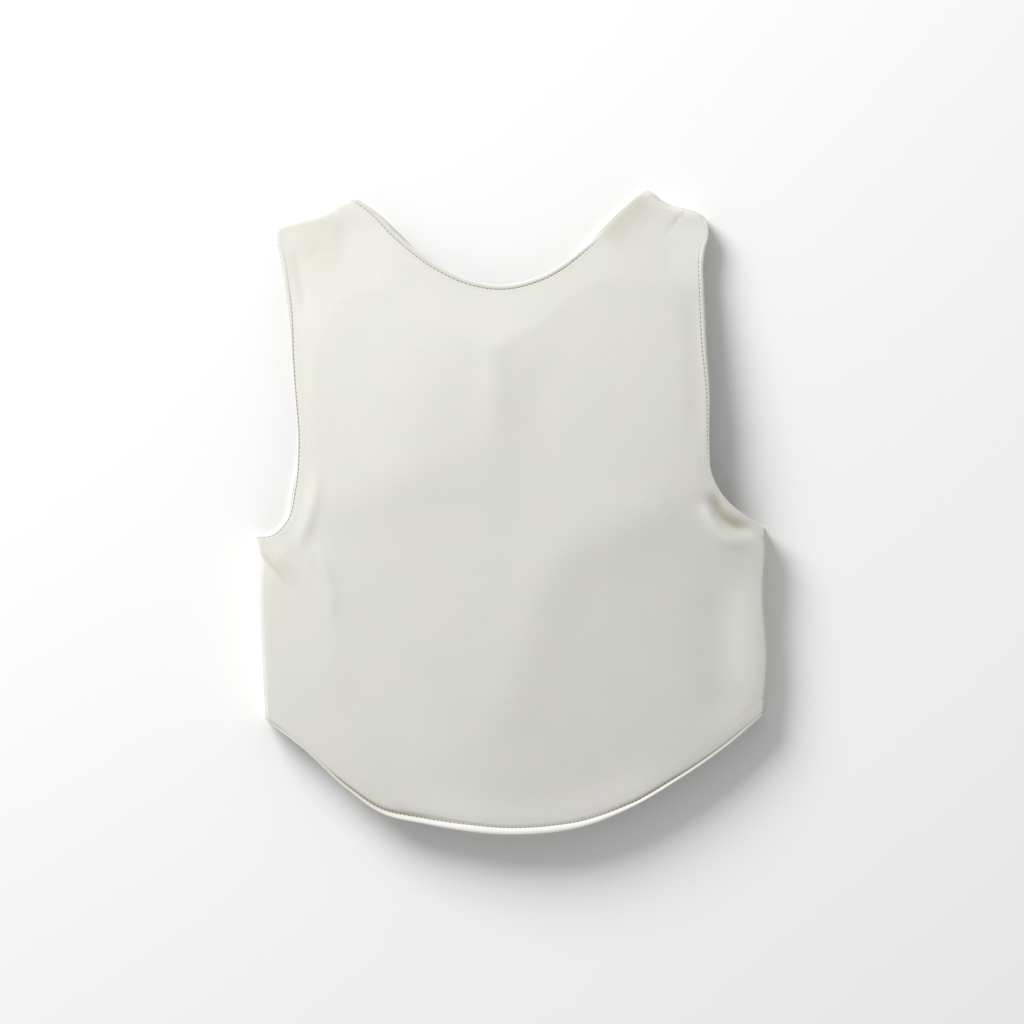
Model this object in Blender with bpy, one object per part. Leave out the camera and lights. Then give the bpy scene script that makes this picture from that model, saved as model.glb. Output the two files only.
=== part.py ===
"""A slip-on stab vest, lying on its back with its neck towards +Y.

A carrier of stretch cloth has a front and a back, and each holds a soft armour panel against the inside of the
cloth. Turned bands finish the neck, the armholes and the bottom. Left is -X and right is +X, as seen from above.
Lengths are in millimetres until an object's mesh is made.

Each half is cut as a flat pattern, as a tailor would cut it, and then draped: a height function gives the outer
face of the cloth above the floor, and every other face lies some depth inside that one.
"""

from collections import namedtuple

import bmesh
import bpy
import numpy as np
from mathutils import Vector
from mathutils.geometry import delaunay_2d_cdt

MM = 0.001

# Walls and layers
CLOTH = 1.5
PANEL = 5.5
BAND_THICKNESS = 3.0
BAND_LIP = 0.9
GAP = 0.3
NECK_BAND = 7.0
ARMHOLE_BAND = 7.0
BOTTOM_BAND = 11.0

# Heights above the floor, and the rounds that the cloth turns through to its seams
SIDE_SEAM = 9.0
SHOULDER_SEAM = 8.0
SIDE_ROUND = 11.0
SHOULDER_ROUND = 9.0
SEAM_SNAP = 0.05
HALF_WIDTH = 230.0
ARCH_DROP = 0.45
ARCH_POWER = 2.2
PANEL_RELIEF = 6.0
PANEL_TENT = 85.0
PANEL_RIM = 2.5

# Fineness of the patterns
CURVE_STEP = 2.0
EDGE_STEP = 15.0
END_STEPS = (0.9, 3.5, 8.0, 14.0)
FRONT_STEP = 27.0
BACK_STEP = 62.0
ROOM = 0.55
SLOPE_STEP = 0.6

Height = namedtuple("Height", "y crown")
CROWN = (
    Height(-300, 28),
    Height(-230, 35),
    Height(-100, 43),
    Height(20, 45.5),
    Height(100, 42),
    Height(160, 36),
    Height(205, 30.5),
    Height(250, 25),
    Height(300, 18.5),
)

# The outline of the front, clockwise from the bottom left corner. The inside is on the right hand all the way.
LEFT_SIDE = ((-223.3, -188.0), (-226.9, -119.0), (-228.6, -63.5), (-227.8, -38.1), (-231.3, -21.9))
LEFT_ARMHOLE = (
    (-231.3, -21.9), (-217.3, -20.5), (-204.5, -9.0), (-196.5, 20.0), (-193.6, 55.0),
    (-197.6, 115.8), (-203.0, 179.5), (-209.6, 226.0), (-213.6, 254.0),
)
LEFT_SHOULDER = ((-213.6, 254.0), (-203.9, 261.5), (-176.0, 268.6), (-159.7, 278.6), (-144.0, 284.9))
NECK = (
    (-144.0, 284.9), (-128.5, 274.2), (-103.6, 249.4), (-72.6, 224.5), (-36.9, 207.5), (-10.0, 203.6),
    (23.4, 211.3), (69.9, 243.2), (104.1, 277.4), (119.6, 290.5),
)
RIGHT_SHOULDER = ((119.6, 290.5), (134.0, 282.8), (150.0, 275.5), (163.0, 270.8), (174.8, 265.0))
RIGHT_ARMHOLE = (
    (174.8, 265.0), (176.4, 251.0), (171.4, 222.0), (173.7, 159.3), (176.8, 104.9), (176.6, 60.0),
    (178.5, 35.0), (190.5, 12.5), (211.9, -5.5), (228.7, -16.3),
)
RIGHT_SIDE = ((228.7, -16.3), (229.6, -36.0), (227.6, -70.7), (231.2, -135.9), (227.3, -181.7))
BOTTOM = (
    (227.3, -181.7), (192.1, -211.4), (149.0, -241.1), (105.5, -266.5), (62.1, -283.4), (6.3, -290.2),
    (-77.1, -281.0), (-118.2, -271.3), (-149.6, -249.5), (-190.7, -212.1), (-223.3, -188.0),
)

# How far the back's open edges lie inside the front's, at even parts of their length. Less than 0 peeps out.
BACK_LEFT_ARMHOLE_SHIFTS = (0.0, -3.0, 3.0, 3.0, 3.0, 0.0)
BACK_NECK_SHIFTS = (0.0, -2.4, 3.0, 6.0, 3.0, -2.4, 0.0)
BACK_RIGHT_ARMHOLE_SHIFTS = (0.0, 3.0, 3.0, 3.0, 2.0, 0.0)
BACK_BOTTOM_SHIFTS = (0.0, 2.0, -2.0, 2.0, 0.0)

# The panels' outlines, clockwise. The front one has two round lobes with a notch between them.
PANEL_LEFT = (
    (-196.0, -192.0), (-213.0, -172.0), (-216.0, -120.0), (-213.0, -58.0), (-195.0, -25.0),
    (-181.0, 10.0), (-178.0, 60.0), (-178.0, 115.0), (-171.5, 157.0),
)
LEFT_LOBE = ((-171.5, 157.0), (-152.0, 188.5), (-119.2, 197.4), (-89.7, 181.0), (-53.9, 159.3), (-16.7, 143.8))
RIGHT_LOBE = ((-16.7, 143.8), (20.2, 164.0), (60.0, 195.5), (101.0, 207.5), (139.0, 190.5), (160.5, 157.0))
PANEL_RIGHT = (
    (160.5, 157.0), (162.0, 105.0), (162.0, 55.0), (170.0, 12.0), (191.0, -24.0),
    (213.0, -52.0), (218.0, -120.0), (214.0, -166.0), (194.0, -189.0),
)
BACK_PANEL_TOP = ((-171.5, 157.0), (-140.0, 184.0), (-70.0, 183.0), (60.0, 183.0), (130.0, 184.0), (160.5, 157.0))
PANEL_BOTTOM_INSET = 14.0
PANEL_BOTTOM_TRIM = 45.0

# Soft folds of the front, each along a curve through three or more points. A lift below 0 is a dent. A slant
# lifts the curve's right hand and drops its left. The fades are shares of the length at its two ends.
Fold = namedtuple("Fold", "name width lift slant fade_in fade_out points")
FOLDS = (
    Fold("crease below the notch", 13, 0.9, 0.0, 0.0, 0.9, ((-17, 144), (-19, 85), (-24, 20))),
    Fold("ridge between the lobes", 45, 2.0, 0.0, 0.0, 0.6, ((-20, 140), (-22, 60), (-30, -30))),
    Fold("fall right of the notch", 24, 0.0, 0.6, 0.3, 0.7, ((4, 140), (6, 100), (2, 20))),
    Fold("left chest swell", 60, 3.2, 0.0, 0.0, 0.0, ((-90, 60), (-85, 100), (-80, 130))),
    Fold("belly crest", 26, 1.2, 0.0, 0.1, 0.2, ((160, 12), (96, -12), (42, -44), (11, -116), (-12, -224))),
    Fold("belly swell", 70, 2.0, 0.0, 0.0, 0.0, ((150, 20), (80, -10), (20, -60), (-5, -140), (-20, -240))),
    Fold("right flank hollow", 24, -2.2, 0.0, 0.4, 0.2, ((199, -25), (192, -100), (188, -200))),
    Fold("left flank crest", 18, 0.9, 0.0, 0.2, 0.3, ((-178, -20), (-166, -70), (-163, -190))),
    Fold("under the left chest", 28, 1.0, 0.0, 0.1, 0.4, ((-185, 0), (-140, 12), (-85, 36), (-50, 66))),
    Fold("right armpit hollow", 7.5, -3.2, 0.0, 0.25, 0.4, ((175, 19), (185, 0), (195, -11), (218, -22))),
    Fold("right armpit welt", 8, 1.6, 0.0, 0.25, 0.35, ((172, 14), (178, -5), (189, -23), (213, -35))),
    Fold("left armpit dent", 8, -2.8, 0.0, 0.2, 0.5, ((-226, -34), (-208, -48), (-186, -66))),
    Fold("left armhole roll", 8, 1.4, 0.0, 0.5, 0.2, ((-164, 75), (-178, 15), (-200, -32))),
    Fold("left strap dent", 7, -1.3, 0.0, 0.3, 0.5, ((-196, 246), (-191, 215), (-187, 190), (-184, 150))),
    Fold("right strap dent", 6, -1.2, 0.0, 0.3, 0.5, ((154, 270), (146, 255), (134, 242))),
    Fold("right armhole hollow", 9, -1.2, 0.0, 0.3, 0.3, ((158, 205), (164, 120), (162, 40))),
)
SLANT_PEAK = 2.33
NARROW_FOLD = 12.0
FOLD_STEP = 16.0

Look = namedtuple("Look", "name colour roughness")
SHELL_LOOK = Look("stretch_cloth", (0.74, 0.735, 0.69, 1.0), 0.85)
BAND_LOOK = Look("band_cloth", (0.76, 0.755, 0.71, 1.0), 0.8)
PANEL_LOOK = Look("panel_cover", (0.62, 0.61, 0.57, 1.0), 0.7)


def through(points, step=CURVE_STEP):
    """Points about a step apart on a smooth curve through the given ones."""
    points = np.array(points, float)
    chord = np.linalg.norm(np.diff(points, axis=0), axis=1)
    at = np.concatenate([[0.0], np.cumsum(chord)])
    slope = np.gradient(points, at, axis=0)
    wanted = np.linspace(0, at[-1], max(3, round(at[-1] / step) + 1))
    k = np.clip(np.searchsorted(at, wanted, side="right") - 1, 0, len(chord) - 1)
    size = chord[k][:, None]
    t = ((wanted - at[k]) / chord[k])[:, None]
    ahead = t * t * (3 - 2 * t)
    leave = t * (1 - t) ** 2 * size * slope[k]
    arrive = t * t * (1 - t) * size * slope[k + 1]
    return points[k] * (1 - ahead) + points[k + 1] * ahead + leave - arrive


def arcs(curve):
    """How far along the curve each of its points is."""
    return np.concatenate([[0.0], np.cumsum(np.linalg.norm(np.diff(curve, axis=0), axis=1))])


def sampled(curve, values, distances):
    """Values that belong to a curve's points, read at these distances along it."""
    at = arcs(curve)
    return np.stack([np.interp(distances, at, values[:, 0]), np.interp(distances, at, values[:, 1])], axis=1)


def walk(curve, distances):
    """The points at these distances along a curve."""
    return sampled(curve, curve, distances)


def inward(curve):
    """The unit vector to the right hand at each point of a curve."""
    run = np.gradient(curve, axis=0)
    run /= np.linalg.norm(run, axis=1)[:, None]
    return np.stack([run[:, 1], -run[:, 0]], axis=1)


def shifted(curve, shifts):
    """The curve with its points moved inwards by some even-spaced amounts, with soft steps between them."""
    shifts = np.array(shifts)
    at = arcs(curve) / arcs(curve)[-1] * (len(shifts) - 1)
    before = np.minimum(at.astype(int), len(shifts) - 2)
    amount = shifts[before] + (shifts[before + 1] - shifts[before]) * smooth(at - before)
    return curve + inward(curve) * amount[:, None]


def beside(points, curve):
    """Distance of the points from a curve, positive on its right hand, and the share of its length there."""
    start = curve[:-1]
    run = np.diff(curve, axis=0)
    offset = points[:, None] - start
    along = np.clip((offset * run).sum(axis=2) / (run * run).sum(axis=1), 0, 1)
    apart = np.linalg.norm(offset - along[..., None] * run, axis=2)
    nearest = apart.argmin(axis=1)
    every = np.arange(len(points))
    near_run = run[nearest]
    near_offset = offset[every, nearest]
    left_hand = near_run[:, 0] * near_offset[:, 1] - near_run[:, 1] * near_offset[:, 0]
    reached = (nearest + along[every, nearest]) / len(start)
    return np.where(left_hand > 0, -1.0, 1.0) * apart[every, nearest], reached


def inside(points, loop):
    """Whether each point is inside a closed loop, by counting the edges that a ray crosses."""
    ax, ay = loop.T
    bx, by = np.roll(loop, -1, axis=0).T
    x, y = points[:, 0][:, None], points[:, 1][:, None]
    spans = (ay > y) != (by > y)
    rise = np.where(by == ay, 1.0, by - ay)
    return (spans & (x < ax + (y - ay) * (bx - ax) / rise)).sum(axis=1) % 2 == 1


def closed(loop):
    """The loop with its first point again at its end."""
    return np.concatenate([loop, loop[:1]])


def smooth(share):
    """An even rise from 0 to 1 as the share does so, level at both ends."""
    t = np.clip(share, 0, 1)
    return t * t * (3 - 2 * t)


SEAMS = {
    "left side": through(LEFT_SIDE),
    "left shoulder": through(LEFT_SHOULDER),
    "right shoulder": through(RIGHT_SHOULDER),
    "right side": through(RIGHT_SIDE),
}
Edge = namedtuple("Edge", "curve before after band")
FRONT_EDGES = {
    "armhole_band_front_left": Edge(through(LEFT_ARMHOLE), "left side", "left shoulder", ARMHOLE_BAND),
    "neck_band_front": Edge(through(NECK), "left shoulder", "right shoulder", NECK_BAND),
    "armhole_band_front_right": Edge(through(RIGHT_ARMHOLE), "right shoulder", "right side", ARMHOLE_BAND),
    "bottom_band_front": Edge(through(BOTTOM), "right side", "left side", BOTTOM_BAND),
}
BACK_SHIFTS = (BACK_LEFT_ARMHOLE_SHIFTS, BACK_NECK_SHIFTS, BACK_RIGHT_ARMHOLE_SHIFTS, BACK_BOTTOM_SHIFTS)
BACK_EDGES = {
    name.replace("front", "back"): edge._replace(curve=shifted(edge.curve, shifts))
    for (name, edge), shifts in zip(FRONT_EDGES.items(), BACK_SHIFTS)
}
CROWN_CURVE = through(CROWN)
FOLD_CURVES = [(fold, through(fold.points, 2 * CURVE_STEP)) for fold in FOLDS]


def panel_loop(*top):
    """A panel's outline: the flanks, the given top, and a bottom that follows the vest's."""
    bottom = FRONT_EDGES["bottom_band_front"].curve
    lower = bottom + inward(bottom) * PANEL_BOTTOM_INSET
    lower = walk(lower, np.arange(PANEL_BOTTOM_TRIM, arcs(lower)[-1] - PANEL_BOTTOM_TRIM, EDGE_STEP))
    curves = [through(PANEL_LEFT, EDGE_STEP)]
    curves += [through(curve, EDGE_STEP) for curve in top]
    curves.append(through(PANEL_RIGHT, EDGE_STEP))
    return np.concatenate([curve[:-1] for curve in curves] + [curves[-1][-1:], lower])


FRONT_PANEL = panel_loop(LEFT_LOBE, RIGHT_LOBE)
BACK_PANEL = panel_loop(BACK_PANEL_TOP)


def rounded(distance, radius):
    """0 at a seam and 1 past its round, along a quarter circle."""
    t = np.clip((distance - SEAM_SNAP) / radius, 0, 1)
    return np.sqrt(1 - (1 - t) ** 2)


def seam_rounds(at):
    """For each seam its level, and how far the cloth at these points has turned away from it."""
    for name, curve in SEAMS.items():
        side = "side" in name
        level = SIDE_SEAM if side else SHOULDER_SEAM
        radius = SIDE_ROUND if side else SHOULDER_ROUND
        yield level, rounded(beside(at, curve)[0], radius)


def panel_lift(at):
    """How far the panel holds the cloth up: in full over it, and less with the distance outside its rim."""
    out = np.clip(-beside(at, closed(FRONT_PANEL))[0], 0, PANEL_TENT)
    eased = np.hypot(out, PANEL_RIM) - PANEL_RIM
    return PANEL_RELIEF * (1 - eased / (np.hypot(PANEL_TENT, PANEL_RIM) - PANEL_RIM))


def fold_lift(at):
    """What the folds add to the height."""
    lift = np.zeros(len(at))
    for fold, curve in FOLD_CURVES:
        distance, along = beside(at, curve)
        over = distance / fold.width
        shape = (fold.lift + fold.slant * SLANT_PEAK * over) * np.exp(-over * over)
        arrive = smooth(along / fold.fade_in) if fold.fade_in else 1.0
        leave = smooth((1 - along) / fold.fade_out) if fold.fade_out else 1.0
        lift += shape * arrive * leave
    return lift


def front_height(at):
    """Height of the front's outer face: an arch from side to side, the panel under it, and the folds."""
    x, y = at.T
    crown = np.interp(y, CROWN_CURVE[:, 0], CROWN_CURVE[:, 1])
    height = crown * (1 - ARCH_DROP * np.abs(x / HALF_WIDTH) ** ARCH_POWER)
    height += panel_lift(at) + fold_lift(at)
    for level, turned in seam_rounds(at):
        height = level + GAP + (height - level - GAP) * turned
    return height


def back_height(at):
    """Height of the back's outer face: flat on the floor, and up to the seams in a round."""
    height = np.zeros(len(at))
    for level, turned in seam_rounds(at):
        height = level - GAP + (height - level + GAP) * turned
    return height


def face(at, height, depth):
    """The face some depth inside the cloth's outer face, over these points.

    At a seam the cloth stands upright, so its depth runs level there.
    """
    up = 1.0 if height is front_height else -1.0
    step_x, step_y = np.array([SLOPE_STEP, 0.0]), np.array([0.0, SLOPE_STEP])
    slope_x = (height(at + step_x) - height(at - step_x)) / (2 * SLOPE_STEP)
    slope_y = (height(at + step_y) - height(at - step_y)) / (2 * SLOPE_STEP)
    normal = up * np.stack([-slope_x, -slope_y, np.ones(len(at))], axis=1)
    on_seam = np.any([np.abs(beside(at, curve)[0]) <= SEAM_SNAP for curve in SEAMS.values()], axis=0)
    normal[on_seam, 2] = 0.0
    normal /= np.linalg.norm(normal, axis=1)[:, None]
    return np.column_stack([at, height(at)]) - normal * depth


def edge_stations(edge):
    """Distances along an open edge, close together near the seams, where the cloth turns up."""
    size = arcs(edge.curve)[-1]
    middle = np.linspace(END_STEPS[-1], size - END_STEPS[-1], round(size / EDGE_STEP))
    ends = np.array(END_STEPS[:-1])
    return np.concatenate([[0.0], ends, middle, size - ends[::-1], [size]])


def across(edge, stations):
    """The way across a band, for each mm of its width, at stations along its edge.

    It is square to the edge, and turns at both ends to run along the seam where the band ends.
    """
    over = sampled(edge.curve, inward(edge.curve), stations)
    size = arcs(edge.curve)[-1]
    for seam, distance in ((SEAMS[edge.before][::-1], stations), (SEAMS[edge.after], size - stations)):
        near = walk(seam, [0.0, edge.band])
        along = near[1] - near[0]
        along /= along @ over[distance.argmin()]
        turn = np.clip(distance / END_STEPS[-1], 0, 1)[:, None]
        over = along * (1 - turn) + over * turn
    return over


def inner_line(edge, width):
    """The line some width inside an open edge, and how far along the seams its two ends are."""
    stations = edge_stations(edge)
    over = across(edge, stations)
    line = walk(edge.curve, stations) + over * width
    reach = np.linalg.norm(over[[0, -1]], axis=1) * width
    line[0] = walk(SEAMS[edge.before][::-1], reach[:1])[0]
    line[-1] = walk(SEAMS[edge.after], reach[1:])[0]
    return line, reach


def shell_outline(edges):
    """The outline of the cloth between its bands, and rows of points that follow its seams."""
    edges = list(edges.values())
    lines = [inner_line(edge, edge.band + GAP) for edge in edges]
    loop, rows = [], []
    for edge, (line, reach), (_, next_reach) in zip(edges, lines, lines[1:] + lines[:1]):
        seam = SEAMS[edge.after]
        end = arcs(seam)[-1] - next_reach[0]
        along = np.linspace(reach[1], end, max(3, round((end - reach[1]) / EDGE_STEP)))[1:-1]
        on_seam = walk(seam, along)
        loop += [line, on_seam]
        rows += [(on_seam + sampled(seam, inward(seam), along) * width, ROOM * width) for width in END_STEPS]
    return np.concatenate(loop), rows


def front_details():
    """Rows of points along the narrow folds of the front."""
    for fold, curve in FOLD_CURVES:
        if fold.width < NARROW_FOLD:
            along = np.arange(0, arcs(curve)[-1], FOLD_STEP)
            for offset in (0, -fold.width, fold.width):
                yield walk(curve + inward(curve) * offset, along), ROOM * fold.width


def scattered(points, spots, loop, room):
    """The points, with each spot added that is inside the loop and has room around it."""
    for spot in spots[inside(spots, loop)]:
        if np.linalg.norm(points - spot, axis=1).min() >= room:
            points = np.concatenate([points, spot[None]])
    return points


def ring_edges(first, count):
    return [(first + k, first + (k + 1) % count) for k in range(count)]


def cut_pattern(edges, panel, details, step):
    """A half's flat pattern inside its bands: its points, its triangles, and those over the panel."""
    loop, rows = shell_outline(edges)
    points = np.concatenate([loop, panel])
    fixed = ring_edges(0, len(loop)) + ring_edges(len(loop), len(panel))
    lattice = np.stack(np.meshgrid(np.arange(-215.0, 216.0, step), np.arange(-275.0, 286.0, step)), axis=-1)
    for spots, room in [*rows, *details, (lattice.reshape(-1, 2), ROOM * step)]:
        points = scattered(points, spots, loop, room)
    flat, _, triangles, *_ = delaunay_2d_cdt([Vector(point) for point in points], fixed, [], 0, 1e-4)
    flat = np.array(flat)
    triangles = np.array(triangles)
    middle = flat[triangles].mean(axis=1)
    return flat, triangles[inside(middle, loop)], triangles[inside(middle, panel)]


def add_piece(name, points, faces, look):
    """A named object from points in millimetres, with its faces turned outwards."""
    mesh = bpy.data.meshes.new(name)
    mesh.from_pydata(points * MM, [], faces)
    shape = bmesh.new()
    shape.from_mesh(mesh)
    bmesh.ops.recalc_face_normals(shape, faces=shape.faces)
    shape.to_mesh(mesh)
    shape.free()
    mesh.shade_smooth()
    mesh.set_sharp_from_angle(angle=0.7)
    material = bpy.data.materials.get(look.name)
    if material is None:
        material = bpy.data.materials.new(look.name)
        material.use_nodes = True
        shader = material.node_tree.nodes["Principled BSDF"]
        shader.inputs["Base Color"].default_value = look.colour
        shader.inputs["Roughness"].default_value = look.roughness
        shader.inputs["Metallic"].default_value = 0.0
    mesh.materials.append(material)
    piece = bpy.data.objects.new(name, mesh)
    VEST.objects.link(piece)
    return piece


def add_layer(name, flat, triangles, height, depth, thickness, look):
    """A closed sheet between two faces draped over one flat pattern, joined round its outline."""
    used, faces = np.unique(triangles, return_inverse=True)
    faces = faces.reshape(-1, 3)
    at = flat[used]
    points = np.concatenate([face(at, height, depth), face(at, height, depth + thickness)])
    directed = {(int(a), int(b)) for tri in faces for a, b in zip(tri, np.roll(tri, -1))}
    rim = [(b, a, a + len(at), b + len(at)) for a, b in directed if (b, a) not in directed]
    both = [tuple(map(int, tri)) for tri in faces] + [tuple(map(int, tri[::-1] + len(at))) for tri in faces]
    return add_piece(name, points, both + sorted(rim), look)


def add_band(name, edge, height):
    """A turned band along an open edge, as a loft of its section from seam to seam."""
    section = (
        (0.0, BAND_LIP),
        (BAND_LIP, 0.0),
        (edge.band, 0.0),
        (edge.band, BAND_THICKNESS),
        (BAND_LIP, BAND_THICKNESS),
        (0.0, BAND_THICKNESS - BAND_LIP),
    )
    rings = np.stack([face(inner_line(edge, width)[0], height, depth) for width, depth in section], axis=1)
    stations, corners = rings.shape[:2]
    faces = [tuple(range(corners)), tuple(range(corners * stations - 1, corners * (stations - 1) - 1, -1))]
    for station in range(stations - 1):
        for corner in range(corners):
            a = station * corners + corner
            b = station * corners + (corner + 1) % corners
            faces.append((a, b, b + corners, a + corners))
    return add_piece(name, rings.reshape(-1, 3), faces, BAND_LOOK)


def add_half(side, edges, panel, height, details, step):
    """One half of the vest: its cloth, its armour panel and its bands."""
    flat, shell, over_panel = cut_pattern(edges, panel, details, step)
    pieces = [
        add_layer(f"{side}_shell", flat, shell, height, 0.0, CLOTH, SHELL_LOOK),
        add_layer(f"{side}_panel", flat, over_panel, height, CLOTH + GAP, PANEL, PANEL_LOOK),
    ]
    return pieces + [add_band(name, edge, height) for name, edge in edges.items()]


def stand_on_origin(pieces):
    """Moves the pieces' meshes so that the middle of the underside of their box is the origin."""
    corners = np.array([vertex.co for piece in pieces for vertex in piece.data.vertices])
    low, high = corners.min(axis=0), corners.max(axis=0)
    foot = Vector(((low[0] + high[0]) / 2, (low[1] + high[1]) / 2, low[2]))
    for piece in pieces:
        for vertex in piece.data.vertices:
            vertex.co -= foot


for old in list(bpy.data.objects):
    bpy.data.objects.remove(old)
VEST = bpy.data.collections.new("stab_vest")
bpy.context.scene.collection.children.link(VEST)

front = add_half("front", FRONT_EDGES, FRONT_PANEL, front_height, list(front_details()), FRONT_STEP)
back = add_half("back", BACK_EDGES, BACK_PANEL, back_height, [], BACK_STEP)
stand_on_origin(front + back)
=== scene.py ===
# %% [markdown]
# A stab vest of white stretch cloth, laid on its back.
# The vest is a carrier, a front and a back sewn together at the sides and the shoulders, with a soft
# armour panel inside each. The neck, the armholes and the bottom are turned under and stitched. The
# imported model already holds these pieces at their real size, so it is loaded first, as the frame for the
# looks.

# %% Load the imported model
import math
from collections import namedtuple

import bpy
import numpy as np
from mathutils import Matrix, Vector, kdtree
from mathutils.geometry import delaunay_2d_cdt


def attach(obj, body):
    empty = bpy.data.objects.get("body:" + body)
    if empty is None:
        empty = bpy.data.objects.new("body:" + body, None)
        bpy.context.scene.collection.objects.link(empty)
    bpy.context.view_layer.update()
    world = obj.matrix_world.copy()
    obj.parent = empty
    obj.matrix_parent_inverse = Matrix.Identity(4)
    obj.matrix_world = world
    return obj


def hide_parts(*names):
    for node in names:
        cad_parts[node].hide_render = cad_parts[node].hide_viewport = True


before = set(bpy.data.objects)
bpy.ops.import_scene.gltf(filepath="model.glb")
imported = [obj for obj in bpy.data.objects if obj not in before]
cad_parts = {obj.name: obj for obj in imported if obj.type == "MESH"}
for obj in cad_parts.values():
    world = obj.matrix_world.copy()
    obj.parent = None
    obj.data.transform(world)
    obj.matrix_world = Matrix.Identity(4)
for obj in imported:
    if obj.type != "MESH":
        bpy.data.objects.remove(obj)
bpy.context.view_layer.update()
bpy.ops.object.select_all(action="DESELECT")

# %% [markdown]
# A garment starts as a flat pattern. Its edges are smooth curves through a few points, in millimetres,
# with left at -X and the neck at +Y. One helper draws such a curve, and the next ones measure along it
# and beside it, which is what a tailor does with a tape. Everything that follows an edge is then placed
# by two numbers: how far along it lies, and how far in from the edge.

# %% Curves of the pattern
MM = 0.001
CURVE_STEP = 2.0


def through(points, step=CURVE_STEP):
    """Points about a step apart on a smooth curve through the given ones."""
    points = np.array(points, float)
    chord = np.linalg.norm(np.diff(points, axis=0), axis=1)
    at = np.concatenate([[0.0], np.cumsum(chord)])
    slope = np.gradient(points, at, axis=0)
    wanted = np.linspace(0, at[-1], max(3, round(at[-1] / step) + 1))
    k = np.clip(np.searchsorted(at, wanted, side="right") - 1, 0, len(chord) - 1)
    size = chord[k][:, None]
    t = ((wanted - at[k]) / chord[k])[:, None]
    ahead = t * t * (3 - 2 * t)
    leave = t * (1 - t) ** 2 * size * slope[k]
    arrive = t * t * (1 - t) * size * slope[k + 1]
    return points[k] * (1 - ahead) + points[k + 1] * ahead + leave - arrive


def arcs(curve):
    """How far along the curve each of its points is."""
    return np.concatenate([[0.0], np.cumsum(np.linalg.norm(np.diff(curve, axis=0), axis=1))])


def sampled(curve, values, distances):
    """Values that belong to a curve's points, read at these distances along it."""
    at = arcs(curve)
    return np.stack([np.interp(distances, at, column) for column in values.T], axis=1)


def walk(curve, distances):
    """The points at these distances along a curve."""
    return sampled(curve, curve, distances)


def inward(curve):
    """The unit vector to the right hand at each point of a curve."""
    run = np.gradient(curve, axis=0)
    run /= np.linalg.norm(run, axis=1)[:, None]
    return np.stack([run[:, 1], -run[:, 0]], axis=1)


def beside(points, curve):
    """How far points lie from a curve, above 0 on its right hand, and how far along it, from 0 to 1."""
    start = curve[:-1]
    run = np.diff(curve, axis=0)
    offset = points[:, None] - start
    along = np.clip((offset * run).sum(axis=2) / (run * run).sum(axis=1), 0, 1)
    apart = np.linalg.norm(offset - along[..., None] * run, axis=2)
    nearest = apart.argmin(axis=1)
    every = np.arange(len(points))
    near_run, near_offset = run[nearest], offset[every, nearest]
    left_hand = near_run[:, 0] * near_offset[:, 1] - near_run[:, 1] * near_offset[:, 0]
    distance = np.where(left_hand > 0, -1.0, 1.0) * apart[every, nearest]
    return distance, (nearest + along[every, nearest]) / len(run)


def inside(points, loop):
    """Whether each point is inside a closed loop, by counting the edges that a ray crosses."""
    ax, ay = loop.T
    bx, by = np.roll(loop, -1, axis=0).T
    x, y = points[:, 0][:, None], points[:, 1][:, None]
    spans = (ay > y) != (by > y)
    rise = np.where(by == ay, 1.0, by - ay)
    return (spans & (x < ax + (y - ay) * (bx - ax) / rise)).sum(axis=1) % 2 == 1


def smooth(share):
    """A soft step from 0 to 1."""
    share = np.clip(share, 0, 1)
    return share * share * (3 - 2 * share)


# %% [markdown]
# These tables are the vest's pattern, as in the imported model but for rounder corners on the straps. They
# run clockwise, so the cloth always lies on the right hand of its edge. Four of the eight stretches are
# seams, where the front meets the back, and four are open edges with a turned band.

# %% Outline of the vest
LEFT_SIDE = ((-223.3, -188.0), (-226.9, -119.0), (-228.6, -63.5), (-227.8, -38.1), (-231.3, -21.9))
LEFT_ARMHOLE = (
    (-231.3, -21.9), (-217.3, -20.5), (-204.5, -9.0), (-196.5, 20.0), (-193.6, 55.0),
    (-197.6, 115.8), (-203.0, 179.5), (-209.6, 226.0), (-213.2, 246.0), (-212.2, 254.0), (-209.4, 259.2),
)
LEFT_SHOULDER = (
    (-209.4, 259.2), (-204.0, 261.9), (-197.0, 264.2), (-178.5, 268.8), (-167.5, 273.4), (-157.5, 280.4),
    (-144.0, 284.9),
)
NECK = (
    (-144.0, 284.9), (-128.5, 274.2), (-103.6, 249.4), (-72.6, 224.5), (-36.9, 207.5), (-10.0, 203.6),
    (23.4, 211.3), (69.9, 243.2), (104.1, 277.4), (119.6, 290.5),
)
RIGHT_SHOULDER = (
    (119.6, 290.5), (126.5, 287.6), (134.5, 281.0), (144.0, 276.4), (156.0, 273.4), (168.0, 269.0),
    (174.0, 264.6),
)
RIGHT_ARMHOLE = (
    (174.0, 264.6), (176.6, 257.0), (176.6, 247.5), (173.6, 237.0), (171.7, 224.0), (172.3, 200.0),
    (173.7, 159.3), (176.8, 104.9), (176.6, 60.0), (178.5, 35.0), (190.5, 12.5), (211.9, -5.5),
    (228.7, -16.3),
)
RIGHT_SIDE = ((228.7, -16.3), (229.6, -36.0), (227.6, -70.7), (231.2, -135.9), (227.3, -181.7))
BOTTOM = (
    (227.3, -181.7), (192.1, -211.4), (149.0, -241.1), (105.5, -266.5), (62.1, -283.4), (6.3, -290.2),
    (-77.1, -281.0), (-118.2, -271.3), (-149.6, -249.5), (-190.7, -212.1), (-223.3, -188.0),
)
NECK_BAND = 7.0
ARMHOLE_BAND = 7.0
BOTTOM_BAND = 11.0
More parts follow.
